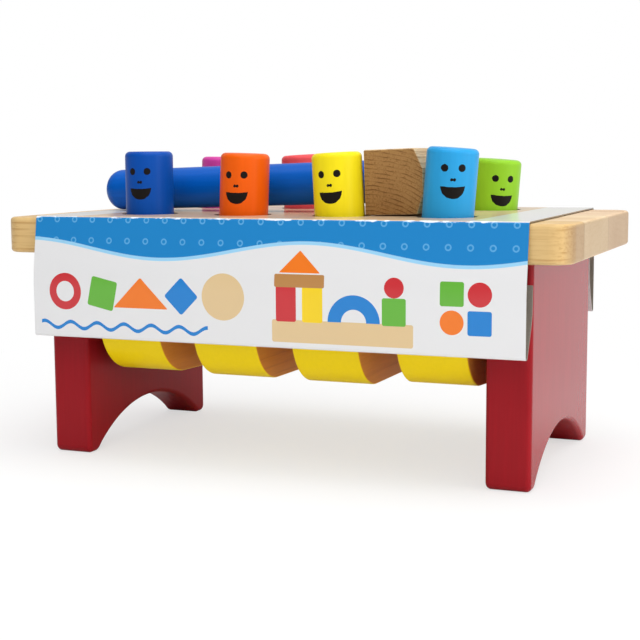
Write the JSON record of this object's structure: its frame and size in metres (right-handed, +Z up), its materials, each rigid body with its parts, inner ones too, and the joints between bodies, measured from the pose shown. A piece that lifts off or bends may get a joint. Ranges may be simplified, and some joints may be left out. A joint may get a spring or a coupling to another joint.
{
  "type": "toy pounding bench",
  "caption": "Wooden pounding bench with captive pegs in two rows that see-saw on rockers below, a mallet lying on top and a folded card sleeve round the plank.",
  "frame": {"origin": "on the floor, under the middle of the plank", "axes": "+X along the plank to the right, +Y from the front to the back, +Z up"},
  "size_m": [0.286, 0.1626, 0.1539],
  "materials": {
    "plank": "clear lacquered beech",
    "leg_red": "gloss painted wood",
    "rocker": "yellow gloss paint on the edges, bare lacquered sides",
    "axle": "bare hardwood dowel",
    "spacer": "bare turned hardwood",
    "dowel": "bare fluted dowel",
    "peg_blue": "gloss painted wood with a printed face",
    "peg_orange": "gloss painted wood with a printed face",
    "peg_yellow": "gloss painted wood with a printed face",
    "peg_sky": "gloss painted wood with a printed face",
    "peg_magenta": "gloss painted wood with a printed face",
    "peg_red": "gloss painted wood with a printed face",
    "peg_purple": "gloss painted wood with a printed face",
    "peg_green": "gloss painted wood with a printed face",
    "handle_blue": "gloss painted wood",
    "mallet_wood": "clear lacquered beech",
    "card": "printed and gloss varnished outside, grey inside"
  },
  "bodies": {
    "bench": {"plank_front_strip": "plank", "plank_middle_strip": "plank", "plank_back_strip": "plank", "left_leg": "leg_red", "right_leg": "leg_red", "left_leg_dowels": "dowel", "right_leg_dowels": "dowel", "axle": "axle", "spacer_1": "spacer", "spacer_2": "spacer", "spacer_3": "spacer", "left_end_spacer": "spacer", "right_end_spacer": "spacer", "card_sleeve": "card"},
    "rocker_1": {"rocker_1": "rocker"},
    "rocker_2": {"rocker_2": "rocker"},
    "rocker_3": {"rocker_3": "rocker"},
    "rocker_4": {"rocker_4": "rocker"},
    "front_peg_blue": {"front_peg_blue": "peg_blue"},
    "front_peg_orange": {"front_peg_orange": "peg_orange"},
    "front_peg_yellow": {"front_peg_yellow": "peg_yellow"},
    "front_peg_sky": {"front_peg_sky": "peg_sky"},
    "back_peg_magenta": {"back_peg_magenta": "peg_magenta"},
    "back_peg_red": {"back_peg_red": "peg_red"},
    "back_peg_purple": {"back_peg_purple": "peg_purple"},
    "back_peg_green": {"back_peg_green": "peg_green"},
    "mallet": {"mallet_handle": "handle_blue", "mallet_head": "mallet_wood"}
  },
  "joints": [
    {"name": "rocker_1_tip", "type": "hinge", "parent": "bench", "child": "rocker_1", "pos_m": [-0.078, 0, 0.083], "axis": [1, 0, 0], "range_deg": [-17.2, 20.8]},
    {"name": "rocker_2_tip", "type": "hinge", "parent": "bench", "child": "rocker_2", "pos_m": [-0.026, 0, 0.083], "axis": [1, 0, 0], "range_deg": [-18.3, 19.7]},
    {"name": "rocker_3_tip", "type": "hinge", "parent": "bench", "child": "rocker_3", "pos_m": [0.026, 0, 0.083], "axis": [1, 0, 0], "range_deg": [-18.7, 19.3]},
    {"name": "rocker_4_tip", "type": "hinge", "parent": "bench", "child": "rocker_4", "pos_m": [0.078, 0, 0.083], "axis": [1, 0, 0], "range_deg": [-15, 23]},
    {"name": "front_peg_blue_slide", "type": "slide", "parent": "bench", "child": "front_peg_blue", "axis": [0, 0, 1], "range_m": [-0.0156, 0.0129]},
    {"name": "front_peg_orange_slide", "type": "slide", "parent": "bench", "child": "front_peg_orange", "axis": [0.0436, 0, 0.999], "range_m": [-0.0147, 0.0137]},
    {"name": "front_peg_yellow_slide", "type": "slide", "parent": "bench", "child": "front_peg_yellow", "axis": [-0.0523, 0, 0.9986], "range_m": [-0.0144, 0.014]},
    {"name": "front_peg_sky_slide", "type": "slide", "parent": "bench", "child": "front_peg_sky", "axis": [0.0785, 0, 0.9969], "range_m": [-0.0172, 0.0113]},
    {"name": "back_peg_magenta_slide", "type": "slide", "parent": "bench", "child": "back_peg_magenta", "axis": [0.0262, 0, 0.9997], "range_m": [-0.0129, 0.0156]},
    {"name": "back_peg_red_slide", "type": "slide", "parent": "bench", "child": "back_peg_red", "axis": [-0.0523, 0, 0.9986], "range_m": [-0.0137, 0.0147]},
    {"name": "back_peg_purple_slide", "type": "slide", "parent": "bench", "child": "back_peg_purple", "axis": [-0.0262, 0, 0.9997], "range_m": [-0.014, 0.0144]},
    {"name": "back_peg_green_slide", "type": "slide", "parent": "bench", "child": "back_peg_green", "axis": [0.0785, 0, 0.9969], "range_m": [-0.0113, 0.0172]},
    {"name": "mallet_lift", "type": "slide", "parent": "bench", "child": "mallet", "axis": [0, 0, 1], "range_m": [0, 0.15]}
  ],
  "couplings": [
    {"joint": "front_peg_blue_slide", "follows": "rocker_1_tip", "m_per_rad": -0.0426},
    {"joint": "front_peg_orange_slide", "follows": "rocker_2_tip", "m_per_rad": -0.0426},
    {"joint": "front_peg_yellow_slide", "follows": "rocker_3_tip", "m_per_rad": -0.0426},
    {"joint": "front_peg_sky_slide", "follows": "rocker_4_tip", "m_per_rad": -0.0426},
    {"joint": "back_peg_magenta_slide", "follows": "rocker_1_tip", "m_per_rad": 0.0426},
    {"joint": "back_peg_red_slide", "follows": "rocker_2_tip", "m_per_rad": 0.0426},
    {"joint": "back_peg_purple_slide", "follows": "rocker_3_tip", "m_per_rad": 0.0426},
    {"joint": "back_peg_green_slide", "follows": "rocker_4_tip", "m_per_rad": 0.0426}
  ]
}
